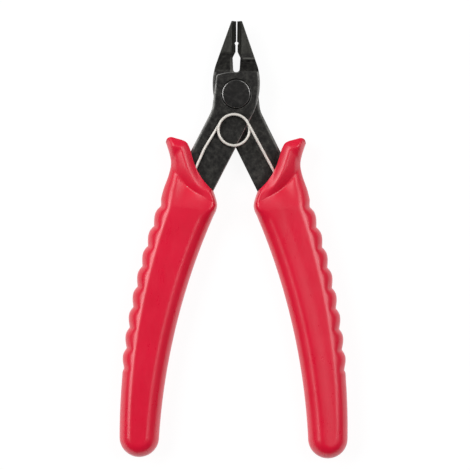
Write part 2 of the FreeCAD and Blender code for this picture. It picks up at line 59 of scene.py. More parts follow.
def to_frame(points, side):
    """(out, y, z) in millimetres to the row frame in metres."""
    points = np.asarray(points, float)
    placed = points * MM + np.array(PIVOT)
    placed[..., 0] = points[..., 0] * side * MM + PIVOT.x
    return placed


# --- curves ---------------------------------------------------------------

CURVE_STEPS = 24


def spline(points, count):
    """A centripetal Catmull-Rom curve through the points, evenly spaced."""
    points = np.asarray(points, float)
    ends = (2 * points[0] - points[1], 2 * points[-1] - points[-2])
    points = np.vstack([ends[0], points, ends[1]])
    knots = np.concatenate([[0], np.cumsum(np.sqrt(
        np.linalg.norm(np.diff(points, axis=0), axis=1)))])
    line = []
    for k in range(1, len(points) - 2):
        t0, t1, t2, t3 = knots[k - 1:k + 3]
        p0, p1, p2, p3 = points[k - 1:k + 3]
        t = np.linspace(t1, t2, CURVE_STEPS, endpoint=False)[:, None]
        a1 = (t1 - t) / (t1 - t0) * p0 + (t - t0) / (t1 - t0) * p1
        a2 = (t2 - t) / (t2 - t1) * p1 + (t - t1) / (t2 - t1) * p2
        a3 = (t3 - t) / (t3 - t2) * p2 + (t - t2) / (t3 - t2) * p3
        b1 = (t2 - t) / (t2 - t0) * a1 + (t - t0) / (t2 - t0) * a2
        b2 = (t3 - t) / (t3 - t1) * a2 + (t - t1) / (t3 - t1) * a3
        line.append((t2 - t) / (t2 - t1) * b1 + (t - t1) / (t2 - t1) * b2)
    line.append(points[-2][None])
    return evenly(np.vstack(line), count)


def evenly(line, count):
    """The same line with `count` points at equal distances along it."""
    steps = np.linalg.norm(np.diff(line, axis=0), axis=1)
    along = np.concatenate([[0], np.cumsum(steps)])
    wanted = np.linspace(0, along[-1], count)
    return np.column_stack([np.interp(wanted, along, line[:, k]) for k in range(2)])


def nearest(points, line):
    """Distance from each point to the nearest stretch of the line."""
    flat = points.reshape(-1, 2)
    best = np.full(len(flat), np.inf)
    for a, b in zip(line[:-1], line[1:]):
        run = b - a
        share = np.clip((flat - a) @ run / max(run @ run, 1e-12), 0, 1)
        gap = np.linalg.norm(flat - a - share[:, None] * run, axis=1)
        best = np.minimum(best, gap)
    return best.reshape(points.shape[:-1])


def smooth(x, low, high):
    """0 below low, 1 above high and an even ramp between."""
    share = np.clip((np.asarray(x, float) - low) / (high - low), 0, 1)
    return share * share * (3 - 2 * share)


def between(start, end, share):
    """start where the share is 0, end where it is 1."""
    return start + (end - start) * share


# --- the grips' outline ---------------------------------------------------

HALF_THICK = 5.25
# an arc is its centre's (out, y) and its radius
INNER_ARC = (-172.91, -113.84, 195.43)
OUTER_ARC = (-171.75, -100.72, 205.72)
INNER_ARC_TOP, OUTER_ARC_TOP = -36.0, -33.0
END_Y = -102.3
# the body starts here at its inner edge, and a little higher at its outer one
BODY_Y = -40.0
BODY_SLANT = 3.4
RIM = [
    (6.5, -29.0), (9.66, -25.6), (11.93, -21.7), (12.87, -18.9), (13.9, -15.7),
    (14.75, -14.4), (17.9, -13.3), (19.3, -12.98), (20.35, -13.4), (20.84, -14.5),
]
NOSE = [(6.5, -29.0), (5.95, -30.7), (5.5, -32.4), (5.45, -33.5), (5.78, -34.9)]
FIN_SIDE = [
    (20.84, -14.5), (19.75, -17.9), (19.27, -20.7), (19.85, -23.9),
    (21.38, -28.2), (22.15, -31.1),
]

# finger bumps, with their lengths along the edge as shares of the pitch
VALLEYS = 9
FIRST_VALLEY_Y = -33.4
VALLEY_PITCH = math.radians(1.735)
VALLEY_DEPTH = 0.42
BUMP_HEIGHT = 0.86
BUMP_RISE = 0.39
RISE_POWER, FALL_POWER = 0.9, 1.1
LEAD_IN = 0.42
LEAD_OUT_FROM, LEAD_OUT_TO = VALLEYS - 1.25, VALLEYS - 0.6


def arc_run(arc, start_y, end_y, count):
    """Points along the arc between two heights."""
    out, middle, radius = arc
    angles = np.linspace(math.asin((start_y - middle) / radius),
                         math.asin((end_y - middle) / radius), count)
    return np.column_stack([out + radius * np.cos(angles),
                            middle + radius * np.sin(angles)])


def scallop(angle):
    """How far the finger bumps stand out of the outer arc: each one rises
    quickly from a sharp valley and falls off slowly towards the next."""
    first = math.asin((FIRST_VALLEY_Y - OUTER_ARC[1]) / OUTER_ARC[2])
    place = (first - angle) / VALLEY_PITCH
    share = place - np.floor(place)
    rise = np.minimum(share / BUMP_RISE, 1)
    fall = np.maximum(share - BUMP_RISE, 0) / (1 - BUMP_RISE)
    bump = np.where(share < BUMP_RISE,
                    np.sin(rise * math.pi / 2) ** RISE_POWER,
                    np.cos(fall * math.pi / 2) ** FALL_POWER)
    stand = BUMP_HEIGHT * bump - VALLEY_DEPTH
    lead_in = -VALLEY_DEPTH * smooth(place, -LEAD_IN, 0.0)
    lead_out = 1 - smooth(place, LEAD_OUT_FROM, LEAD_OUT_TO)
    return np.where(place < 0, lead_in, stand) * lead_out


# --- the grips' form ------------------------------------------------------

# the grid of points: across the grip, then down the collar, body and end
ACROSS = 52
TOP_STATIONS = 110
BODY_STATIONS = 236
CAP_STATIONS = 18
RIM_CROWDING = 0.65
WALL_ROWS = 10
FINE = 600
COLLAR_RUN_ON = 12.0

# the two grips are one moulding turned over, and its two faces differ: one
# is level, the other is a little sunk past a fuller inner shoulder. Lengths
# in millimetres; pairs are (start, end), or (inner edge, outer edge)
LEVEL_FACE = {"inner_side": 4.2, "sunk": 0.0}
SUNK_FACE = {"inner_side": 4.4, "sunk": 0.24}
SUNK_OVER = (4.0, 8.6)
OUTER_SIDE = 3.75
SIDES_CHANGE_ACROSS = (0.35, 0.65)
WIDEST_ROUNDING = 0.48
END_SPARE = 0.6
UPRIGHT_BEHIND, UPRIGHT_ACROSS = (1.5, 9.0), (0.3, 0.6)
UPRIGHT_TIGHTENS = 0.68
UPRIGHT_POWER = (2.0, 2.5)
COLLAR_SIDE_OVER = (4.0, 9.0)
COLLAR_SIDE_TIGHTENS = 1.5
LIP = (1.0, 2.5)
LIP_DROP = (0.7975, 1.45)
LIP_GROWS_ACROSS = (0.0, 0.45)
CREASE_BEHIND = (2.1, 6.7)
RAMP_LENGTH = (2.0, 7.6)
CREASE_DEPTH = (0.22, 1.97)
CREASE_DEEPENS_ACROSS = (0.1, 0.75)
FALL_FROM_CREST = 0.9
FALL_CURVE, RAMP_CURVE, ROLL_CURVE = 1.35, 1.25, 1.5
CROWN = 0.26
BODY_FORM_OVER = (3.0, 14.0)
INSIDE_BOX = 0.02
BUMPS_FADE_OVER = (0.2, 3.1)


def shares_across():
    """Where the columns lie, from 0 at the inner edge to 1 at the outer one.
    They crowd towards both edges, where the sides roll over."""
    return (1 - np.cos(np.linspace(0, math.pi, ACROSS + 1))) / 2


def plan_of_grip():
    """Points of the plan as [station, across, (out, y)], from the mouth's rim
    to the round end and from the inner edge to the outer one. With them come
    the end's last point, the side outline and the line of the rim."""
    across = shares_across()
    # stations crowd towards the rim, where the lip rolls over
    along = np.linspace(0, 1, TOP_STATIONS + 1)
    along = (1 - RIM_CROWDING) * along + RIM_CROWDING * along ** 2
    outer_body_y = BODY_Y + BODY_SLANT
    inner = evenly(np.vstack([
        spline(NOSE, FINE // 3),
        arc_run(INNER_ARC, INNER_ARC_TOP, BODY_Y, FINE // 10)]), FINE)
    outer = evenly(np.vstack([
        spline(FIN_SIDE, FINE // 2),
        arc_run(OUTER_ARC, OUTER_ARC_TOP, outer_body_y, FINE // 10)]), FINE)
    rim = spline(RIM, FINE)
    marks = np.linspace(0, 1, FINE)

    def at(line, share):
        return np.column_stack([np.interp(share, marks, line[:, k]) for k in range(2)])

    # the collar's grid is a patch stretched over its four sides
    rim_points = at(rim, across)
    inner_points, outer_points = at(inner, along), at(outer, along)
    foot = inner[-1] + across[:, None] * (outer[-1] - inner[-1])
    s, t = along[:, None, None], across[None, :, None]
    top = ((1 - s) * rim_points[None] + s * foot[None]
           + (1 - t) * inner_points[:, None] + t * outer_points[:, None]
           - (1 - s) * ((1 - t) * rim[0] + t * rim[-1])
           - s * ((1 - t) * inner[-1] + t * outer[-1]))
    inner_body = arc_run(INNER_ARC, BODY_Y, END_Y, BODY_STATIONS + 1)[1:]
    outer_body = arc_run(OUTER_ARC, outer_body_y, END_Y, BODY_STATIONS + 1)[1:]
    body = inner_body[:, None] + t * (outer_body - inner_body)[:, None]
    # the round end is half a circle across the body's last station
    centre = (inner_body[-1] + outer_body[-1]) / 2
    radius = np.linalg.norm(outer_body[-1] - inner_body[-1]) / 2
    turn = np.linspace(0, math.pi / 2, CAP_STATIONS + 1)[1:-1]
    chord = np.cos(turn)[:, None] * (across * 2 - 1)[None]
    drop = np.broadcast_to(np.sin(turn)[:, None], chord.shape)
    cap = centre + radius * np.stack([chord, -drop], axis=-1)
    tip = centre + np.array([0, -radius])
    plan = np.concatenate([top, body, cap])
    # the lines that heights are measured from, thinned out
    round_end = np.linspace(math.pi, 2 * math.pi, FINE // 10)
    end_line = centre + radius * np.column_stack([np.cos(round_end), np.sin(round_end)])
    sides = np.vstack([inner[::6], inner_body[::3], end_line,
                       outer_body[::-3], outer[::-6]])
    onward = rim[0] - rim[FINE // 10]
    run_on = rim[0] + onward / np.linalg.norm(onward) * COLLAR_RUN_ON
    collar = np.vstack([run_on, rim[::4]])
    return plan, tip, sides, collar


def height_of_grip(plan, edge, behind, inner_side, sunk):
    """Half thickness of the grip over each point of its plan, where edge and
    behind are the distances from the side outline and from the mouth's rim."""
    width = np.linalg.norm(plan[:, -1] - plan[:, 0], axis=1)[:, None]
    # the round end keeps the body's thickness while its plan narrows
    width[TOP_STATIONS + BODY_STATIONS:] = 2 * (HALF_THICK + END_SPARE)
    outward = shares_across()[None]
    # where the strap goes in, the inner side stands upright round it
    upright = ((1 - smooth(behind, *UPRIGHT_BEHIND))
               * (1 - smooth(outward, *UPRIGHT_ACROSS)))
    inner = inner_side * (1 - UPRIGHT_TIGHTENS * upright)
    outer = OUTER_SIDE - COLLAR_SIDE_TIGHTENS * (1 - smooth(behind, *COLLAR_SIDE_OVER))
    radius = np.minimum(between(inner, outer, smooth(outward, *SIDES_CHANGE_ACROSS)),
                        width * WIDEST_ROUNDING)
    power = between(*UPRIGHT_POWER, upright)
    inset = np.clip(1 - edge / radius, 0, 1)
    side_round = (1 - inset ** power) ** (1 / power)
    # the collar's crest, the crease behind it and the ramp up to the body
    grown = smooth(outward, *LIP_GROWS_ACROSS)
    crest = between(*LIP, grown)
    crease = between(*CREASE_BEHIND, outward)
    depth = between(*CREASE_DEPTH, smooth(outward, *CREASE_DEEPENS_ACROSS))
    fall_from = crest * FALL_FROM_CREST
    fall = np.clip((behind - fall_from) / (crease - fall_from), 0, 1) ** FALL_CURVE
    rise = np.clip((behind - crease) / between(*RAMP_LENGTH, outward), 0, 1)
    sink = np.where(behind < crease, fall, (1 - rise) ** RAMP_CURVE)
    hollow = (CROWN * (2 * outward - 1) ** 2
              + sunk * smooth(outward * width, *SUNK_OVER))
    roll = between(*LIP_DROP, grown) * np.clip(1 - behind / crest, 0, 1) ** ROLL_CURVE
    face = (HALF_THICK - INSIDE_BOX - depth * sink
            - hollow * smooth(behind, *BODY_FORM_OVER) - roll)
    return face * side_round


def grip_mesh(side):
    """One grip as a closed mesh: a front and a back face that meet along the
    edges, the round end, and a wall across the mouth."""
    plan, tip, sides, rim = plan_of_grip()
    edge, behind = nearest(plan, sides), nearest(plan, rim)
    forms = (LEVEL_FACE, SUNK_FACE) if side == LEFT else (SUNK_FACE, LEVEL_FACE)
    height, depth = (height_of_grip(plan, edge, behind, **form) for form in forms)
    # finger bumps push the outer wall sideways and fade out at the shoulder
    from_centre = plan - np.array(OUTER_ARC[:2])
    angle = np.arctan2(from_centre[..., 1], from_centre[..., 0])
    away = from_centre / np.linalg.norm(from_centre, axis=-1, keepdims=True)
    fade = (1 - smooth(edge, *BUMPS_FADE_OVER)) * (shares_across()[None] > 0.5)
    plan = plan + away * (scallop(angle) * fade)[..., None]
    stations, columns = height.shape
    front = np.zeros((stations, columns), int)
    back = np.zeros((stations, columns), int)
    points, faces = [], []
    for i in range(stations):
        for j in range(columns):
            out, y = plan[i, j]
            front[i, j] = back[i, j] = len(points)
            points.append((out, y, height[i, j]))
            if 0 < j < columns - 1:
                back[i, j] = len(points)
                points.append((out, y, -depth[i, j]))
    for i in range(stations - 1):
        for j in range(columns - 1):
            faces.append((front[i, j], front[i, j + 1], front[i + 1, j + 1], front[i + 1, j]))
            faces.append((back[i, j], back[i + 1, j], back[i + 1, j + 1], back[i, j + 1]))
    # the round end closes on one point
    end = len(points)
    points.append((tip[0], tip[1], 0.0))
    for j in range(columns - 1):
        faces.append((front[-1, j], front[-1, j + 1], end))
        faces.append((back[-1, j + 1], back[-1, j], end))
    # the mouth's wall, from the front lip to the back one
    wall = [front[0]]
    for k in range(1, WALL_ROWS):
        row = front[0].copy()
        for j in range(1, columns - 1):
            row[j] = len(points)
            level = between(height[0, j], -depth[0, j], k / WALL_ROWS)
            points.append((plan[0, j, 0], plan[0, j, 1], level))
        wall.append(row)
    wall.append(back[0])
    for upper, lower in zip(wall[:-1], wall[1:]):
        for j in range(columns - 1):
            corners = [upper[j], lower[j], lower[j + 1], upper[j + 1]]
            unique = list(dict.fromkeys(int(corner) for corner in corners))
            if len(unique) > 2:
                faces.append(tuple(unique))
    if side == RIGHT:
        faces = [face[::-1] for face in faces]
    return new_object("grip", to_frame(points, side), faces)


def new_object(name, points, faces):
    """A smooth-shaded mesh object from points in the frame."""
    mesh = bpy.data.meshes.new(name)
    mesh.from_pydata([tuple(point) for point in points], [],
                     [tuple(int(corner) for corner in face) for face in faces])
    mesh.validate()
    mesh.shade_smooth()
    piece = bpy.data.objects.new(name, mesh)
    bpy.context.scene.collection.objects.link(piece)
    return piece


def make_grip(name, side, node, body):
    piece = grip_mesh(side)
    piece.name = name
    piece.data.materials.append(grip_plastic())
    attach(piece, body)
    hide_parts(node)


# --- spring ---------------------------------------------------------------

WIRE = 0.4
WIRE_SIDES = 18
COIL_RADIUS = 4.6
COIL_CENTRE = (-0.6, -10.75)
COIL_STEPS = 110
LEFT_LEG = math.radians(149.0)
RIGHT_LEG = math.radians(28.9)
COIL_LOW = 3.085
COIL_HIGH = 4.352
KNEE = (-9.3, -16.3)
KNEE_RADIUS = 13.8
RIGHT_LEG_Z = 0.535
RIGHT_LEG_LEAVES = 2.3
RIGHT_BEND_RADIUS = 9.2
HOOK = (14.8, -29.0)
HOOK_DEPTH = 2.16
HOOK_RADIUS = 0.9
BEND_STEPS = 10
LONGEST_STEP = 0.9
END_DOME = (0.5, 0.6)


def rounded_run(points, radii):
    """A line through the points, its corners rounded to about the radii."""
    line = [points[0]]
    for k, radius in enumerate(radii, start=1):
        back = (points[k - 1] - points[k]).normalized()
        on = (points[k + 1] - points[k]).normalized()
        half = back.angle(on) / 2
        reach = radius / math.tan(half)
        start, end = points[k] + back * reach, points[k] + on * reach
        for step in range(BEND_STEPS + 1):
            share = step / BEND_STEPS
            line.append((1 - share) ** 2 * start + 2 * share * (1 - share) * points[k]
                        + share ** 2 * end)
    line.append(points[-1])
    return line


def spring_line():
    """The wire's middle line: left hook and leg, the coil, then the right leg."""
    def on_coil(angle, level):
        return Vector((COIL_CENTRE[0] + COIL_RADIUS * math.cos(angle),
                       COIL_CENTRE[1] + COIL_RADIUS * math.sin(angle), level))

    start, end = on_coil(LEFT_LEG, COIL_LOW), on_coil(RIGHT_LEG, COIL_HIGH)
    left_hook = Vector((-HOOK[0], HOOK[1], COIL_LOW))
    right_hook = Vector((HOOK[0], HOOK[1], RIGHT_LEG_Z))
    knee = Vector((*KNEE, COIL_LOW))
    level_run = (Vector((right_hook.x, right_hook.y, end.z)) - end).normalized()
    down = Vector((0, 0, -HOOK_DEPTH))
    left = rounded_run([left_hook + down, left_hook, knee, start],
                       [HOOK_RADIUS, KNEE_RADIUS])
    turn = LEFT_LEG + 2 * math.pi - RIGHT_LEG
    coil = [on_coil(LEFT_LEG - turn * k / COIL_STEPS,
                    between(COIL_LOW, COIL_HIGH, k / COIL_STEPS))
            for k in range(1, COIL_STEPS)]
    right = rounded_run([end, end + level_run * RIGHT_LEG_LEAVES, right_hook,
                         right_hook + down],
                        [RIGHT_BEND_RADIUS, HOOK_RADIUS])
    return split_long(left + coil + right)


def split_long(line):
    """The same line with its long steps divided."""
    points = [line[0]]
    for a, b in zip(line[:-1], line[1:]):
        pieces = max(1, math.ceil((b - a).length / LONGEST_STEP))
        points.extend(a.lerp(b, (k + 1) / pieces) for k in range(pieces)
                      if (b - a).length > 1e-6)
    return points


def tube(line, radius, sides):
    """Points and faces of a round tube along a line, with domed ends."""
    tangents = []
    for k in range(len(line)):
        run = line[min(k + 1, len(line) - 1)] - line[max(k - 1, 0)]
        tangents.append(run.normalized())
    across = tangents[0].orthogonal().normalized()
    dome, narrowed = END_DOME
    rings = [(line[0] - tangents[0] * radius * dome, across, tangents[0], narrowed)]
    for point, tangent in zip(line, tangents):
        across = (across - tangent * across.dot(tangent)).normalized()
        rings.append((point, across, tangent, 1.0))
    rings.append((line[-1] + tangents[-1] * radius * dome, across, tangents[-1], narrowed))
    points, faces = [], []
    for centre, across, tangent, share in rings:
        other = tangent.cross(across)
        for k in range(sides):
            angle = 2 * math.pi * k / sides
            points.append(centre + (across * math.cos(angle) + other * math.sin(angle))
                          * radius * share)
    for k in range(len(rings) - 1):
        for n in range(sides):
            m = (n + 1) % sides
            faces.append((k * sides + n, k * sides + m,
                          (k + 1) * sides + m, (k + 1) * sides + n))
    faces.append(tuple(reversed(range(sides))))
    faces.append(tuple((len(rings) - 1) * sides + k for k in range(sides)))
    return points, faces


def make_spring():
    points, faces = tube(spring_line(), WIRE, WIRE_SIDES)
    piece = new_object("wound_spring", to_frame(points, RIGHT), faces)
    piece.data.materials.append(spring_steel())
    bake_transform(piece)
    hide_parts("return_spring")


# --- materials ------------------------------------------------------------

# places on the pieces, in millimetres beside and above the pivot; a pair is
# where a change starts and ends, a triple is a band and its soft margin
GROUND_OVER = (11.8, 12.4)
SEAT_EDGE = (4.8, 5.2)
JAW_FOOT = (6.4, 6.8)
# where the painted highlight line across one jaw's edge lies
JAW_EDGE_HIGHLIGHT = {"beside": (2.1, 5.2, 0.4), "above": (10.50, 10.82, 0.14)}
# where the painted highlight band on the relief window's left wall lies
WINDOW_WALL_HIGHLIGHT = {"beside": (-1.8, -0.9, 0.2), "above": (6.8, 10.6, 0.6)}
STRAP_TOP = -9.0
STRAP_LEAN = 0.515
OUTER_HALF = (5.6, 6.2)
COLLAR_OVER = (-36.0, -28.0)

# edges are shaded as if rounded this much, in millimetres
JAW_ROUNDING = 0.25
EXTRA_ROUNDING = 0.6
RIVET_ROUNDING = 0.4
RIVET_ROUNDING_VARIES = 0.2
GREYED_WIDTH = 1.0

# the middles of the two painted highlights on the rivet's corner, as directions from the pivot,
# roughly towards the key and the fill lamp
PAINTED_HIGHLIGHT_FACINGS = ((-0.98, 0.19, 0.0), (0.82, 0.57, 0.0))
# how strong the corner's faint wear is away from the painted highlights
FAINTEST_RING = 0.14

BLUED_BLACK = ((0.34, (0.008, 0.0075, 0.0070)), (0.5, (0.017, 0.016, 0.0143)),
               (0.66, (0.036, 0.035, 0.030)))
GROUND_STEEL = ((0.35, (0.024, 0.024, 0.020)), (0.70, (0.080, 0.080, 0.068)))
SCRATCHED = (0.07, 0.068, 0.06)
# the light grey of the painted highlights on one jaw and on the window wall
PAINTED_HIGHLIGHT_GREY = (0.14, 0.137, 0.125)
GREYED = (0.22, 0.218, 0.205)
RUBBED = (0.44, 0.435, 0.42)


class Nodes:
    """Short ways to wire a material's nodes. Where one takes a value, it may
    be a number, a colour or another node's output."""

    def __init__(self, name):
        self.material = bpy.data.materials.new(name)
        self.material.use_nodes = True
        self.tree = self.material.node_tree
        self.shader = self.tree.nodes["Principled BSDF"]
        geometry = self.add("ShaderNodeNewGeometry")
        self.place = geometry.outputs["Position"]
        self.bare_normal = geometry.outputs["Normal"]

    def add(self, kind, **values):
        node = self.tree.nodes.new(kind)
        for key, value in values.items():
            setattr(node, key, value)
        return node

    def link(self, source, target):
        self.tree.links.new(source, target)

    def plug(self, value, socket):
        if isinstance(value, bpy.types.NodeSocket):
            self.link(value, socket)
        elif isinstance(value, tuple):
            socket.default_value = (*value, 1.0)[:len(socket.default_value)]
        else:
            socket.default_value = value

    def stretched(self, scale, turn=0.0):
        """The place, turned about Z and scaled along each axis."""
        mapping = self.add("ShaderNodeMapping", vector_type="POINT")
        mapping.inputs["Scale"].default_value = scale
        mapping.inputs["Rotation"].default_value = (0, 0, turn)
        self.link(self.place, mapping.inputs["Vector"])
        return mapping.outputs["Vector"]

    def noise(self, vector, scale, detail=4.0, roughness=0.55, distortion=0.0):
        """Clouds, with the scale in clouds to a metre."""
        node = self.add("ShaderNodeTexNoise")
        self.link(vector, node.inputs["Vector"])
        node.inputs["Scale"].default_value = scale
        node.inputs["Detail"].default_value = detail
        node.inputs["Roughness"].default_value = roughness
        node.inputs["Distortion"].default_value = distortion
        return node.outputs["Fac"]

    def ramp(self, value, stops):
        """Greys or colours by value, each stop being (value, tone)."""
        node = self.add("ShaderNodeValToRGB")
        ramp = node.color_ramp
        while len(ramp.elements) < len(stops):
            ramp.elements.new(0.5)
        for element, (place, tone) in zip(ramp.elements, stops):
            element.position = place
            element.color = (*(tone if isinstance(tone, tuple) else (tone,) * 3), 1.0)
        self.link(value, node.inputs["Fac"])
        return node.outputs["Color"]

    def mix(self, share, a, b):
        node = self.add("ShaderNodeMix", data_type="RGBA")
        self.plug(share, node.inputs["Factor"])
        self.plug(a, node.inputs[6])
        self.plug(b, node.inputs[7])
        return node.outputs[2]

    def maths(self, operation, a, b=0.5):
        node = self.add("ShaderNodeMath", operation=operation)
        self.plug(a, node.inputs[0])
        self.plug(b, node.inputs[1])
        return node.outputs[0]

    def times(self, first, *others):
        for other in others:
            first = self.maths("MULTIPLY", first, other)
        return first

    def vector(self, operation, a, b=(0.0, 0.0, 0.0), output="Vector"):
        node = self.add("ShaderNodeVectorMath", operation=operation)
        self.plug(a, node.inputs[0])
        self.plug(b, node.inputs[1])
        return node.outputs[output]

    def split(self, vector):
        node = self.add("ShaderNodeSeparateXYZ")
        self.link(vector, node.inputs["Vector"])
        return node.outputs["X"], node.outputs["Y"], node.outputs["Z"]

    def from_pivot(self):
        """The place, level with the pivot and measured from it."""
        return self.vector("MULTIPLY", self.vector("SUBTRACT", self.place, tuple(PIVOT)),
                           (1.0, 1.0, 0.0))

    def step(self, value, start, end):
        """0 below start and 1 above end."""
        node = self.add("ShaderNodeMapRange", interpolation_type="SMOOTHSTEP")
        node.inputs["From Min"].default_value = start
        node.inputs["From Max"].default_value = end
        self.link(value, node.inputs["Value"])
        return node.outputs["Result"]

    def past(self, length, start, end):
        """0 where a length is below start and 1 above end, in millimetres."""
        return self.step(length, start * MM, end * MM)

    def band(self, length, start, end, soft):
        """1 from start to end, fading to 0 over `soft` outside them."""
        return self.maths("SUBTRACT", self.past(length, start - soft, start),
                          self.past(length, end, end + soft))

    def bump(self, height, strength, depth, normal=None):
        """Tilts the normal as if the height stood up to `depth` millimetres."""
        node = self.add("ShaderNodeBump")
        node.inputs["Strength"].default_value = strength
        node.inputs["Distance"].default_value = depth * MM
        self.link(height, node.inputs["Height"])
        if normal is not None:
            self.link(normal, node.inputs["Normal"])
        return node.outputs["Normal"]

    def rounded(self, radius):
        """The normal as if every sharp edge had that radius."""
        node = self.add("ShaderNodeBevel", samples=8)
        self.link(radius, node.inputs["Radius"])
        return node.outputs["Normal"]

    def near_edge(self, reach):
        """0 on open faces, rising to 1 beside an outer edge of the piece."""
        node = self.add("ShaderNodeAmbientOcclusion", samples=12, inside=True,
                        only_local=True)
        node.inputs["Distance"].default_value = reach * MM
        return self.ramp(self.maths("SUBTRACT", 1.0, node.outputs["AO"]),
                         [(0.05, 0.0), (0.20, 1.0)])

    def tilt(self, normal):
        """How far a normal leans over: 0 on flats, 1 on rounded edges. Upright
        walls count as flats."""
        level = self.maths("ABSOLUTE", self.split(normal)[2])
        return self.ramp(level, [(0.05, 0.0), (0.30, 1.0), (0.86, 1.0), (0.975, 0.0)])

    def finish(self, colour, **constants):
        """Gives the shader its colour and whatever is the same all over."""
        self.link(colour, self.shader.inputs["Base Color"])
        for key, value in constants.items():
            self.shader.inputs[key.replace("_", " ")].default_value = value
        return self.material

    def surface(self, **inputs):
        """Links what varies over the surface."""
        for key, value in inputs.items():
            self.link(value, self.shader.inputs[key])


def grip_plastic():
    """Crimson moulded plastic with a satin gloss: slightly clouded, with faint
    waves and handling marks in its surface, and more matt on the collar."""
    if "grip_crimson" in bpy.data.materials:
        return bpy.data.materials["grip_crimson"]
    n = Nodes("grip_crimson")
    cloud = n.noise(n.place, 95.0, 3.0)
    colour = n.ramp(cloud, [(0.3, (0.78, 0.0032, 0.034)), (0.7, (0.85, 0.0050, 0.042))])
    speckle = n.noise(n.place, 1300.0, 2.0)
    colour = n.mix(n.ramp(speckle, [(0.60, 0.0), (0.78, 0.12)]), colour, (0.60, 0.004, 0.022))
    handled = n.noise(n.stretched((1.0, 0.35, 1.0)), 420.0, 5.0, 0.65, 0.4)
    above = n.split(n.from_pivot())[1]
    roughness = n.maths("ADD", n.ramp(handled, [(0.3, 0.26), (0.75, 0.34)]),
                        n.times(n.past(above, *COLLAR_OVER), 0.08))
    normal = n.bump(n.noise(n.place, 170.0, 2.0), 0.16, 0.30)
    normal = n.bump(n.noise(n.place, 800.0, 2.0), 0.10, 0.06, normal)
    n.surface(Roughness=roughness, Normal=normal)
    return n.finish(colour, IOR=1.5, Specular_IOR_Level=0.70)


def lever_steel(name, grind_turn, shade):
    """Black oxide on ground steel: mottled, with grinding marks on the jaws, the oxide worn off
    its rims and greyed by handling along its edges. It also carries painted highlights: a light
    line across one jaw and a light band on the relief window's left wall."""
    n = Nodes(name)
    level = n.from_pivot()
    beside, above, _ = n.split(level)
    blotch = n.noise(n.place, 850.0, 4.0, 0.70)
    colour = n.ramp(blotch, [(place, tuple(shade * part for part in tone))
                             for place, tone in BLUED_BLACK])
    grain = n.noise(n.stretched((1.0, 0.06, 1.0), grind_turn), 2100.0, 3.0, 0.6)
    on_jaw = n.past(above, *GROUND_OVER)
    colour = n.mix(n.times(on_jaw, 0.62), colour, n.ramp(grain, GROUND_STEEL))
    scratch = n.noise(n.stretched((1.0, 0.03, 1.0), grind_turn + 0.5), 900.0, 2.0, 0.5)
    colour = n.mix(n.ramp(scratch, [(0.62, 0.0), (0.75, 0.28)]), colour, SCRATCHED)

    # painted highlights: a light line across one jaw where its edge would catch the light, and a
    # light band on the relief window's left wall
    # patches that break up the edge wear and the painted highlights alike
    wear_and_highlight_patches = n.ramp(n.noise(n.place, 260.0, 3.0, 0.6), [(0.38, 0.4), (0.62, 1.0)])
    jaw_edge_highlight, wall = (n.times(n.band(beside, *mark["beside"]), n.band(above, *mark["above"]))
                  for mark in (JAW_EDGE_HIGHLIGHT, WINDOW_WALL_HIGHLIGHT))
    colour = n.mix(n.times(n.maths("MAXIMUM", jaw_edge_highlight, wall), wear_and_highlight_patches), colour, PAINTED_HIGHLIGHT_GREY)

    # the outer edges of the boss and of the straps, which lean outwards
    below_jaw = n.maths("SUBTRACT", 1.0, n.past(above, *JAW_FOOT))
    down_the_strap = n.maths("MAXIMUM", n.maths("SUBTRACT", STRAP_TOP * MM, above), 0.0)
    off_middle = n.maths("SUBTRACT", n.maths("ABSOLUTE", beside),
                         n.times(down_the_strap, STRAP_LEAN))
    outside = n.times(n.past(off_middle, *OUTER_HALF), below_jaw)
    greyed = n.times(n.near_edge(GREYED_WIDTH), outside, wear_and_highlight_patches, 0.8)
    colour = n.mix(greyed, colour, GREYED)

    # rounded rims, outside the rivet's seat and below the jaws
    off_seat = n.past(n.vector("LENGTH", level, output="Value"), *SEAT_EDGE)
    open_rims = n.times(off_seat, below_jaw)
    wear = n.times(n.tilt(n.bare_normal), open_rims, wear_and_highlight_patches)
    colour = n.mix(wear, colour, RUBBED)
    roughness = n.mix(wear, n.ramp(blotch, [(0.3, 0.34), (0.7, 0.52)]), (0.5, 0.5, 0.5))
    normal = n.rounded(n.maths("ADD", n.times(open_rims, EXTRA_ROUNDING * MM),
                               JAW_ROUNDING * MM))
    normal = n.bump(grain, 0.18, 0.03, normal)
    normal = n.bump(blotch, 0.30, 0.05, normal)
    n.surface(Roughness=roughness, Normal=normal,
              Metallic=n.ramp(wear, [(0.0, 0.45), (1.0, 0.75)]))
    return n.finish(colour, IOR=1.5)


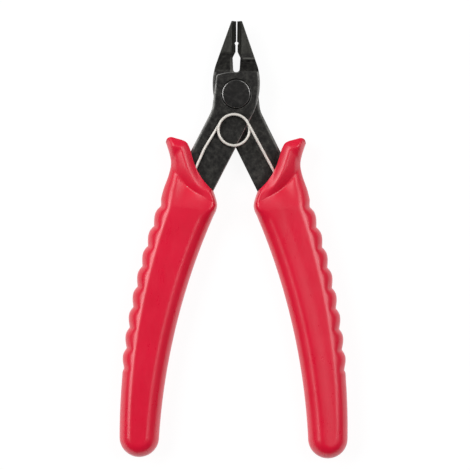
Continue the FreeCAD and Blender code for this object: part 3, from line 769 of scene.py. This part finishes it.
def rivet_steel():
    """The rivet's black head, finely stained, its corner faintly worn all round, with painted
    highlights on the two stretches of the corner that face the key and the fill lamp."""
    n = Nodes("rivet_black")
    stain = n.noise(n.place, 620.0, 6.0, 0.7, 0.8)
    colour = n.ramp(stain, [(0.32, (0.007, 0.007, 0.007)), (0.52, (0.017, 0.016, 0.015)),
                            (0.75, (0.042, 0.040, 0.037))])
    uneven = n.noise(n.place, 160.0, 2.0)
    rounded = n.rounded(n.maths("ADD", n.times(uneven, RIVET_ROUNDING_VARIES * MM),
                                RIVET_ROUNDING * MM))
    # the two stretches of the corner facing the key and the fill lamp get a painted highlight
    spoke = n.vector("NORMALIZE", n.from_pivot())
    along = [n.vector("DOT_PRODUCT", spoke, middle, output="Value")
             for middle in PAINTED_HIGHLIGHT_FACINGS]
    bright = n.step(n.maths("MAXIMUM", *along), 0.70, 0.93)
    wear_and_painted_highlight = n.maths("ADD", n.times(bright, 1 - FAINTEST_RING), FAINTEST_RING)
    # the corner's faint wear together with its painted highlights, mixed in as pale steel below
    wear = n.times(n.tilt(rounded), wear_and_painted_highlight)
    colour = n.mix(wear, colour, (0.80, 0.79, 0.77))
    n.surface(Roughness=n.ramp(stain, [(0.3, 0.34), (0.75, 0.46)]),
              Normal=n.bump(stain, 0.12, 0.03, rounded),
              Metallic=n.ramp(wear, [(0.0, 0.5), (1.0, 0.8)]))
    return n.finish(colour, IOR=1.5)


def spring_steel():
    """Drawn wire: pale, warm and satin, clouded along its length."""
    n = Nodes("spring_bright")
    tarnish = n.noise(n.place, 420.0, 3.0, 0.55)
    colour = n.ramp(tarnish, [(0.3, (0.74, 0.70, 0.64)), (0.7, (0.88, 0.85, 0.79))])
    draw = n.noise(n.place, 500.0, 2.0)
    n.surface(Roughness=n.ramp(draw, [(0.3, 0.42), (0.75, 0.52)]),
              Normal=n.bump(draw, 0.05, 0.01))
    return n.finish(colour, Metallic=0.2, IOR=1.5)


def finish_metal():
    """The CAD levers and rivet keep their shapes and get their own steel."""
    for node, steel in (
            ("front_lever", lever_steel("front_lever_oxide", math.radians(8), 1.0)),
            ("rear_lever", lever_steel("rear_lever_oxide", math.radians(-16), 1.3)),
            ("pivot_rivet", rivet_steel())):
        materials = frame["nodes"][node].data.materials
        materials.clear()
        materials.append(steel)


# --- the studio -----------------------------------------------------------

# name, place, the rectangle's two sides, watts, and what it aims at
LIGHTS = (
    ("key", (-0.60, 0.27, 0.74), (0.84, 0.48), 6.9, (0, 0, 0)),
    ("fill", (0.52, 0.24, 0.82), (0.60, 0.55), 4.4, (0, 0, 0)),
    ("sheen", (0.13, -0.02, 0.40), (0.20, 0.08), 0.05, (0.03, -0.02, 0)),
    ("low_left", (-0.80, -0.08, 0.30), (0.60, 0.30), 0.07, (0, -0.03, 0)),
    ("low_right", (0.80, -0.08, 0.30), (0.60, 0.30), 0.07, (0, -0.03, 0)),
)
WORLD_STRENGTH = 0.05
FLOOR_HALF = 1.5
FLOOR_Z = -0.0002
FLOOR_GLOW = 0.93
VIEW_WIDTH = 0.13997
VIEW_MIDDLE = (-0.00004, 0.0013)
VIEW_TURN = math.radians(0.44)


def make_floor():
    """A white floor that glows, so that shadows on it stay pale."""
    corners = [(-1, -1), (1, -1), (1, 1), (-1, 1)]
    floor = new_object("floor", [(x * FLOOR_HALF, y * FLOOR_HALF, FLOOR_Z)
                                 for x, y in corners], [(0, 1, 2, 3)])
    n = Nodes("floor_white")
    colour = n.ramp(n.noise(n.place, 2.0, 2.0), [(0.3, 0.09), (0.7, 0.11)])
    n.finish(colour, Roughness=0.8, Specular_IOR_Level=0.0,
             Emission_Color=(1.0, 1.0, 1.0, 1.0), Emission_Strength=FLOOR_GLOW)
    floor.data.materials.append(n.material)


def make_lights():
    world = bpy.data.worlds.new("studio")
    bpy.context.scene.world = world
    world.use_nodes = True
    background = world.node_tree.nodes["Background"]
    background.inputs["Color"].default_value = (1, 1, 1, 1)
    background.inputs["Strength"].default_value = WORLD_STRENGTH
    for name, place, size, power, target in LIGHTS:
        lamp = bpy.data.lights.new(name, "AREA")
        lamp.shape = "RECTANGLE"
        lamp.size, lamp.size_y = size
        lamp.energy = power
        light = bpy.data.objects.new(name, lamp)
        light.location = place
        aim = Vector(target) - Vector(place)
        light.rotation_euler = aim.to_track_quat("-Z", "Y").to_euler()
        bpy.context.scene.collection.objects.link(light)


def make_camera():
    """Looks straight down at the tool, turned a fraction of a degree."""
    lens = bpy.data.cameras.new("camera")
    lens.lens = 200.0
    lens.sensor_width = 36.0
    lens.clip_start, lens.clip_end = 0.01, 10.0
    camera = bpy.data.objects.new("camera", lens)
    distance = VIEW_WIDTH * lens.lens / lens.sensor_width
    camera.location = (*VIEW_MIDDLE, PIVOT.z + distance)
    camera.rotation_euler = (0, 0, VIEW_TURN)
    bpy.context.scene.collection.objects.link(camera)
    bpy.context.scene.camera = camera


bpy.context.scene.view_settings.view_transform = "Standard"
make_camera()
make_grip("left_handle_grip", LEFT, "left_grip", "front_half")
make_grip("right_handle_grip", RIGHT, "right_grip", "rear_half")
make_spring()
finish_metal()
make_floor()
make_lights()
